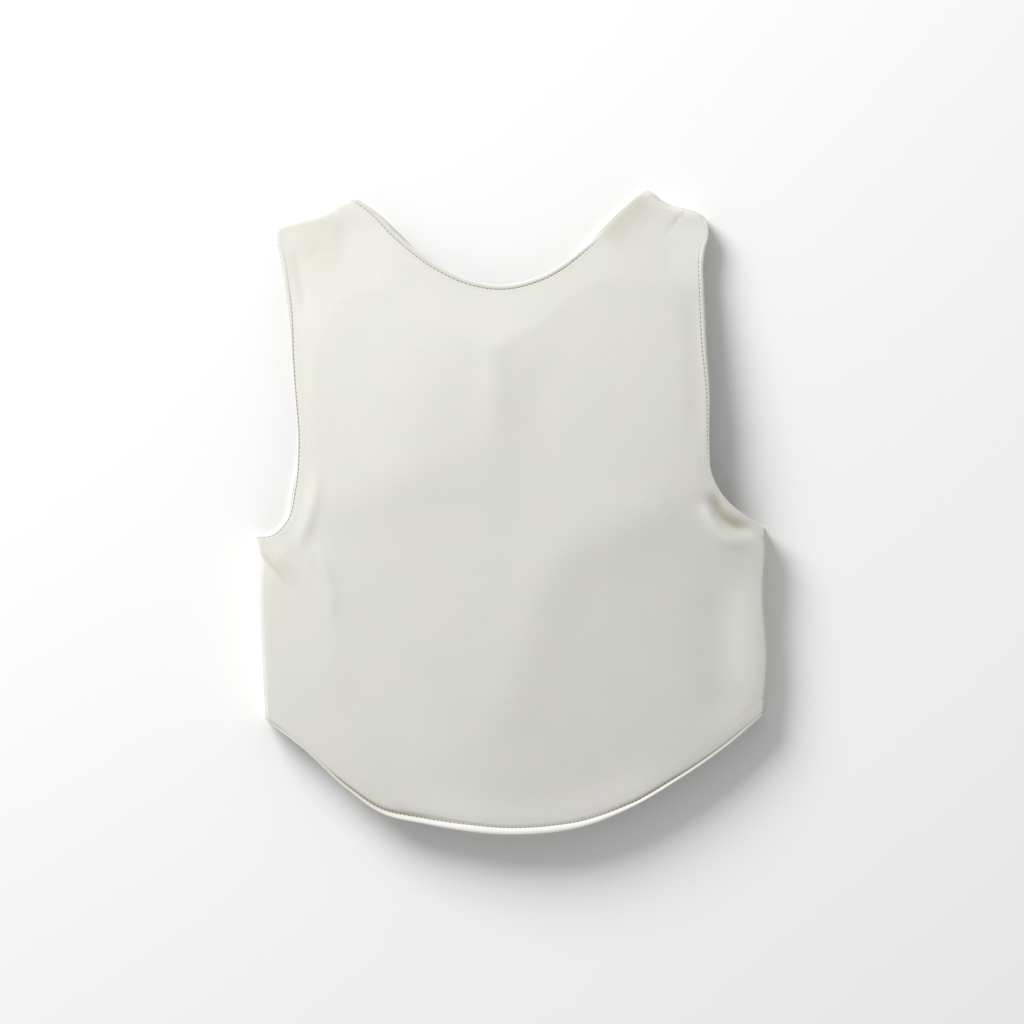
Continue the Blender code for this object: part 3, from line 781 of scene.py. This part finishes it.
def sew_band(name, edge, height):
    """One turned band, swept along its edge from seam to seam."""
    at = stations(edge, STITCH / STITCH_PARTS)
    share, step = at / at[-1], np.arange(len(at))
    stitched, seen, edge_shade = sewn(name, share)
    hole = seen * (step % STITCH_PARTS < HOLE_PARTS)
    dash = DASH_SHADE * (step % DASH_EVERY < DASH_PARTS) * (stitched > DASHED_FROM) * ("armhole" in name)
    rings, dark = [], []
    for corner in band_section(edge, stitched, seen):
        deeper, shade = HOLE * hole * corner.hole, corner.shade + HOLE_SHADE * hole * corner.hole
        top = np.max(corner.depth) < BAND / 2
        if name == "bottom_band_front":
            relief, tone = hem_shape(share, corner.width - stitched, stitched)
            deeper = deeper + relief
            if top:
                shade = HOLE_SHADE * hole * corner.hole + tone
        if top and np.max(corner.width) < LIP:
            if name == "bottom_band_front":
                middle = smooth(np.minimum(share, 1 - share) / EDGE_FADE)
                shade = shade * (1 - middle) + EDGE_SHADE * middle
            shade = shade + dash + edge_shade
        line = inner_line(edge, corner.width, at)[0]
        if top and height is front_height:
            shade = shade + shade_at(line)
        rings.append(face(line, height, corner.depth + deeper))
        dark.append(shade + np.zeros(len(at)))
    rings = np.stack(rings, axis=1)
    corners = rings.shape[1]
    faces = [tuple(range(corners)), tuple(range(corners * len(at) - 1, corners * (len(at) - 1) - 1, -1))]
    for station in range(len(at) - 1):
        for k in range(corners):
            a = station * corners + k
            b = station * corners + (k + 1) % corners
            faces.append((a, b, b + corners, a + corners))
    piece = new_piece(name + "_turned", rings.reshape(-1, 3), faces)
    paint(piece, "shade", np.clip(np.stack(dark, axis=1).ravel(), -1, 1))
    turn_faces_out(piece)
    return piece


bands = {}
for edges, height in ((FRONT_EDGES, front_height), (BACK_EDGES, back_height)):
    for name, edge in edges.items():
        bands[name] = sew_band(name, edge, height)
print(len(bands), "bands,", sum(triangle_count(piece) for piece in bands.values()), "triangles")

# %% [markdown]
# The thread is what makes an edge look sewn. One stitch is modelled as a short bent capsule, and copies
# of it lie in a row down the groove. A band's stitches are one piece, because a thousand objects would be
# slow.

# %% Topstitches
THREAD = 0.5
STITCH_LENGTH = 2.1
HIDDEN = 0.8
STITCH_SIDES = 6
FIRST_STITCH = 0.6
Ring = namedtuple("Ring", "share radius depth")
STITCH_RINGS = (
    Ring(-0.5, 0.25, 0.35), Ring(-0.42, 0.8, 0.05), Ring(-0.2, 1.0, -0.12),
    Ring(0.2, 1.0, -0.12), Ring(0.42, 0.8, 0.05), Ring(0.5, 0.25, 0.35),
)


def stitch_row(name, edge, height):
    """A row of stitches along the groove of a band."""
    size = arcs(edge.curve)[-1]
    pitch = size / round(size / (STITCH / STITCH_PARTS)) * STITCH_PARTS
    at = (np.arange(1, int(size / pitch) - 1) + FIRST_STITCH) * pitch
    turn = np.linspace(0, 2 * np.pi, STITCH_SIDES, endpoint=False)
    points, faces = [], []
    for share, radius, depth in STITCH_RINGS:
        along = at + share * STITCH_LENGTH
        stitched, seen, _ = sewn(name, along / size)
        over = sampled(edge.curve, inward(edge.curve), along)
        spot = walk(edge.curve, along) + over * stitched[:, None]
        deeper = HIDDEN * (1 - seen)
        if name == "bottom_band_front":
            deeper = deeper + hem_shape(along / size, 0.0, stitched)[0]
        middle = face(spot, height, GROOVE * 0.4 + depth + deeper)
        out = normals(spot, height)
        side = np.column_stack([over, np.zeros(len(over))])
        ring = [middle + 0.5 * THREAD * radius * (np.cos(a) * side + np.sin(a) * out) for a in turn]
        points.append(np.stack(ring, axis=1))
    points = np.stack(points, axis=1)
    count = len(STITCH_RINGS) * STITCH_SIDES
    for stitch in range(len(at)):
        base = stitch * count
        faces.append([base + k for k in range(STITCH_SIDES)])
        faces.append([base + count - 1 - k for k in range(STITCH_SIDES)])
        for ring in range(len(STITCH_RINGS) - 1):
            for k in range(STITCH_SIDES):
                a = base + ring * STITCH_SIDES + k
                b = base + ring * STITCH_SIDES + (k + 1) % STITCH_SIDES
                faces.append([a, b, b + STITCH_SIDES, a + STITCH_SIDES])
    piece = new_piece(name.replace("band", "topstitch"), points.reshape(-1, 3), faces)
    turn_faces_out(piece)
    return piece


stitches = {}
for edges, height in ((FRONT_EDGES, front_height), (BACK_EDGES, back_height)):
    for name, edge in edges.items():
        stitches[name] = stitch_row(name, edge, height)
print("topstitches:", sum(triangle_count(piece) for piece in stitches.values()), "triangles")

# %% [markdown]
# The armour panels are stacks of woven layers in a plain sewn cover. Little of them shows, only what can
# be seen through the openings, but that has to look soft: a flat pad with a rounded rim.

# %% Armour panels
PANEL_NET = 7.0
PANEL_EDGE_ROWS = (0.5, 1.6, 3.4)
PAD_ROUND = 4.0
PAD_RIM = 0.02
RIM_STEP = 4.0


def pad_profile(inside_by):
    """Half the pad's thickness, as a share, at these distances inside its rim."""
    return np.sqrt(np.clip(1 - (1 - np.clip(inside_by / PAD_ROUND, 0, 1)) ** 2, PAD_RIM, 1))


def make_panel(name, loop, height):
    """A closed pad between two faces that follow the cloth."""
    size = arcs(closed(loop))[-1]
    rim = walk(closed(loop), np.linspace(0, size, round(size / RIM_STEP) + 1))[:-1]
    rows = [rim + inward(closed(rim))[:-1] * width for width in PANEL_EDGE_ROWS]
    flat, triangles = cut_net(rim, rows, PANEL_NET)
    half = 0.5 * PANEL * pad_profile(beside(flat, closed(rim))[0])
    middle = CLOTH + GAP + 0.5 * PANEL
    points = np.concatenate([face(flat, height, middle - half), face(flat, height, middle + half)])
    directed = {(int(a), int(b)) for tri in triangles for a, b in zip(tri, np.roll(tri, -1))}
    border = [(b, a, a + len(flat), b + len(flat)) for a, b in directed if (b, a) not in directed]
    both = triangles.tolist() + (triangles[:, ::-1] + len(flat)).tolist()
    piece = new_piece(name, points, both + sorted(border))
    turn_faces_out(piece)
    print(name, "has", triangle_count(piece), "triangles")
    return piece


front_pad = make_panel("front_armour_pad", FRONT_PANEL, front_height)
back_pad = make_panel("back_armour_pad", BACK_PANEL, back_height)

# %% [markdown]
# The cloth is a fine knit, too fine to see from where the camera stands, but it decides how the light
# spreads. The first group below makes it from two waves, one for the columns of loops and one for the
# loops in a column. The second makes the thin uneven rows that a knitting machine leaves.

# %% Shader groups for the knit


def group(name, inputs, outputs):
    """An empty shader group with named number inputs, a vector input and named outputs."""
    made = bpy.data.node_groups.new(name, "ShaderNodeTree")
    made.interface.new_socket("Vector", in_out="INPUT", socket_type="NodeSocketVector")
    for socket, value in inputs.items():
        added = made.interface.new_socket(socket, in_out="INPUT", socket_type="NodeSocketFloat")
        added.default_value = value
    for socket in outputs:
        made.interface.new_socket(socket, in_out="OUTPUT", socket_type="NodeSocketFloat")
    entry = made.nodes.new("NodeGroupInput")
    result = made.nodes.new("NodeGroupOutput")
    return made, entry, result


def number(tree, operation, *values):
    """One Math node, fed by sockets or plain numbers."""
    node = tree.nodes.new("ShaderNodeMath")
    node.operation = operation
    for socket, value in zip(node.inputs, values):
        if isinstance(value, bpy.types.NodeSocket):
            tree.links.new(value, socket)
        else:
            socket.default_value = value
    return node.outputs[0]


def make_knit():
    """Height of the loops of a plain knit, from 0 to 1."""
    tree, entry, result = group("plain knit", {"Wale": 0.6}, ["Height"])
    split = tree.nodes.new("ShaderNodeSeparateXYZ")
    tree.links.new(entry.outputs["Vector"], split.inputs[0])
    wale = number(tree, "MULTIPLY", entry.outputs["Wale"], MM)
    column = number(tree, "DIVIDE", split.outputs["X"], wale)
    beside_middle = number(tree, "ABSOLUTE", number(tree, "SUBTRACT", number(tree, "FRACT", column), 0.5))
    row = number(tree, "DIVIDE", split.outputs["Y"], number(tree, "MULTIPLY", wale, 0.8))
    leaning = number(tree, "ADD", row, beside_middle)
    loops = number(tree, "SINE", number(tree, "MULTIPLY", leaning, 2 * np.pi))
    rib = number(tree, "COSINE", number(tree, "MULTIPLY", beside_middle, 2 * np.pi))
    height = number(tree, "MULTIPLY_ADD", loops, 0.25, number(tree, "MULTIPLY_ADD", rib, 0.25, 0.5))
    tree.links.new(height, result.inputs["Height"])
    return tree


KNIT = make_knit()


def make_streaks():
    """Thin uneven rows, as a knitting machine leaves them, from 0 to 1."""
    tree, entry, result = group("knitted streaks", {"Long": 30.0, "Apart": 1.4}, ["Mask"])
    split = tree.nodes.new("ShaderNodeSeparateXYZ")
    tree.links.new(entry.outputs["Vector"], split.inputs[0])
    joined = tree.nodes.new("ShaderNodeCombineXYZ")
    for axis, size in (("X", "Long"), ("Y", "Apart"), ("Z", "Apart")):
        step = number(tree, "MULTIPLY", entry.outputs[size], MM)
        tree.links.new(number(tree, "DIVIDE", split.outputs[axis], step), joined.inputs[axis])
    streaks = tree.nodes.new("ShaderNodeTexNoise")
    streaks.inputs["Scale"].default_value = 1.0
    streaks.inputs["Detail"].default_value = 2.0
    tree.links.new(joined.outputs[0], streaks.inputs["Vector"])
    tree.links.new(streaks.outputs["Fac"], result.inputs["Mask"])
    return tree


STREAKS = make_streaks()
print("shader groups:", KNIT.name, "and", STREAKS.name)

# %% [markdown]
# All finishes are the same matt cloth with other colours. Cool and warm patches lie over each other, the
# faint rows lie over those, and the painted shade attribute mixes in a painted shade colour, or a painted
# light colour where it is below 0.

# %% Finishes
PAINTED_SHADE_COLOUR = (0.39, 0.36, 0.22)
PAINTED_LIGHT_COLOUR = (0.93, 0.925, 0.9)
COOL_WHITE = (0.712, 0.712, 0.662)
WARM_WHITE = (0.73, 0.708, 0.668)
PATCHES_A_METRE = 22.0
ROW_SHARE = 0.35
ROW_TONE = 0.93


def mixed(tree, share, low, high):
    """A colour between two others, each a socket or a plain colour."""
    node = tree.nodes.new("ShaderNodeMix")
    node.data_type = "RGBA"
    for socket, value in ((node.inputs["A"], low), (node.inputs["B"], high)):
        if isinstance(value, bpy.types.NodeSocket):
            tree.links.new(value, socket)
        else:
            socket.default_value = (*value, 1.0)
    tree.links.new(share, node.inputs["Factor"])
    return node.outputs["Result"]


def spread(tree, value, low, high):
    """A value's range from low to high, widened to run from 0 to 1."""
    node = tree.nodes.new("ShaderNodeMapRange")
    node.inputs["From Min"].default_value = low
    node.inputs["From Max"].default_value = high
    tree.links.new(value, node.inputs["Value"])
    return node.outputs["Result"]


def grouped(tree, kind, where):
    """One of the shader groups, placed in a material and fed with coordinates."""
    node = tree.nodes.new("ShaderNodeGroup")
    node.node_tree = kind
    tree.links.new(where, node.inputs["Vector"])
    return node


def cloth_finish(name, cool, warm, roughness, wale, depth):
    """A matt knitted cloth of two colours, with loops of this width and depth in mm."""
    finish = bpy.data.materials.new(name)
    finish.use_nodes = True
    tree = finish.node_tree
    shader = tree.nodes["Principled BSDF"]
    shader.inputs["Roughness"].default_value = roughness
    shader.inputs["Sheen Weight"].default_value = 0.1
    shader.inputs["Sheen Roughness"].default_value = 0.6
    shader.inputs["Specular IOR Level"].default_value = 0.25
    where = tree.nodes.new("ShaderNodeTexCoord").outputs["Object"]
    patches = tree.nodes.new("ShaderNodeTexNoise")
    patches.inputs["Scale"].default_value = PATCHES_A_METRE
    patches.inputs["Detail"].default_value = 2.0
    tree.links.new(where, patches.inputs["Vector"])
    colour = mixed(tree, spread(tree, patches.outputs["Fac"], 0.45, 0.7), cool, warm)
    rows = spread(tree, grouped(tree, STREAKS, where).outputs["Mask"], 0.25, 0.75)
    faint = number(tree, "MULTIPLY", rows, ROW_SHARE)
    colour = mixed(tree, faint, colour, [ROW_TONE * value for value in cool])
    shade = tree.nodes.new("ShaderNodeAttribute")
    shade.attribute_name = "shade"
    # Painted shade from creases, seams and edges, and painted light where the attribute is below 0.
    colour = mixed(tree, shade.outputs["Fac"], colour, PAINTED_SHADE_COLOUR)
    colour = mixed(tree, number(tree, "MULTIPLY", shade.outputs["Fac"], -1.0), colour, PAINTED_LIGHT_COLOUR)
    tree.links.new(colour, shader.inputs["Base Color"])
    knit = grouped(tree, KNIT, where)
    knit.inputs["Wale"].default_value = wale
    bump = tree.nodes.new("ShaderNodeBump")
    bump.inputs["Strength"].default_value = 0.5
    bump.inputs["Distance"].default_value = depth * MM
    tree.links.new(knit.outputs["Height"], bump.inputs["Height"])
    tree.links.new(bump.outputs["Normal"], shader.inputs["Normal"])
    return finish


stretch_cloth = cloth_finish("stretch_cloth", COOL_WHITE, WARM_WHITE, 0.8, 0.6, 0.08)
band_cloth = cloth_finish("band_cloth", COOL_WHITE, WARM_WHITE, 0.8, 0.6, 0.08)
pad_cover = cloth_finish("pad_cover", (0.55, 0.54, 0.50), (0.56, 0.54, 0.50), 0.7, 1.0, 0.1)
thread = cloth_finish("thread", (0.60, 0.585, 0.52), (0.61, 0.585, 0.52), 0.7, 0.3, 0.05)
print("finishes:", [finish.name for finish in (stretch_cloth, band_cloth, pad_cover, thread)])

# %% [markdown]
# Each piece gets its finish and hangs from the root, and the imported pieces that the cloth, bands and pads
# stand for are hidden.

# %% Fit the pieces to the vest
for piece, node, finish, slot in [
    (front_cloth, "front_shell", stretch_cloth, "cloth"),
    (back_cloth, "back_shell", stretch_cloth, "cloth"),
    (front_pad, "front_panel", pad_cover, "panel_cover"),
    (back_pad, "back_panel", pad_cover, "panel_cover"),
    *[(piece, name, band_cloth, "band") for name, piece in bands.items()],
]:
    piece.data.materials.append(finish)
    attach(piece, "root")
    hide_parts(node)
for piece in stitches.values():
    piece.data.materials.append(thread)
    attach(piece, "root")
for cloth, word, on in ((front_cloth, "front", front_pad), (back_cloth, "back", back_pad)):
    going = [piece for piece in [*bands.values(), *stitches.values()] if word in piece.name]

# %% [markdown]
# The floor is a plain pale sheet under an even sky.

# %% Floor and sky
FLOOR_SIZE = 6.0
FLOOR_DROP = 0.0004
SKY_STRENGTH = 0.455
bpy.ops.mesh.primitive_plane_add(size=FLOOR_SIZE, location=(0, 0, -FLOOR_DROP))
floor = bpy.context.active_object
floor.name = "floor"
paper = bpy.data.materials.new("paper")
paper.use_nodes = True
paper.node_tree.nodes["Principled BSDF"].inputs["Base Color"].default_value = (0.95, 0.95, 0.95, 1.0)
paper.node_tree.nodes["Principled BSDF"].inputs["Roughness"].default_value = 0.9
floor.data.materials.append(paper)

sky = bpy.data.worlds.new("sky")
sky.use_nodes = True
sky.node_tree.nodes["Background"].inputs["Color"].default_value = (1.0, 1.0, 1.0, 1.0)
sky.node_tree.nodes["Background"].inputs["Strength"].default_value = SKY_STRENGTH
bpy.context.scene.world = sky

# %% [markdown]
# The lamp is a wide disc, so its shadows have soft edges. It stands low enough for the folds to show.

# %% Lamp
LAMP_AWAY = 4.5
LAMP_SIZE = 2.6
LAMP_WATTS = 218.0
LAMP_UP = math.radians(31)
LAMP_TURN = math.radians(40)
LAMP_AT = LAMP_AWAY * Vector(
    (-math.sin(LAMP_TURN) * math.cos(LAMP_UP), math.cos(LAMP_TURN) * math.cos(LAMP_UP), math.sin(LAMP_UP))
)
bpy.ops.object.light_add(type="AREA", location=LAMP_AT)
lamp = bpy.context.active_object
lamp.name = "key_lamp"
lamp.data.shape = "DISK"
lamp.data.size = LAMP_SIZE
lamp.data.energy = LAMP_WATTS
lamp.rotation_euler = (-LAMP_AT).to_track_quat("-Z", "Y").to_euler()
print("the lamp stands at", [round(value, 2) for value in LAMP_AT])

# %% [markdown]
# The camera looks straight down from 4 metres. Its picture is PHOTO_WIDTH metres wide at the height of
# MEASURED_AT, which is about where the vest's outline lies.

# %% Camera
CAMERA_AWAY = 4.0
MEASURED_AT = 0.014
PHOTO_WIDTH = 0.9236
SENSOR = 36.0
ASIDE = (-0.0009, -0.0004)
bpy.ops.object.camera_add(location=(*ASIDE, CAMERA_AWAY + MEASURED_AT), rotation=(0, 0, 0))
camera = bpy.context.active_object
camera.data.sensor_width = SENSOR
camera.data.lens = SENSOR * CAMERA_AWAY / PHOTO_WIDTH
bpy.context.scene.camera = camera
bpy.context.scene.view_settings.view_transform = "Standard"
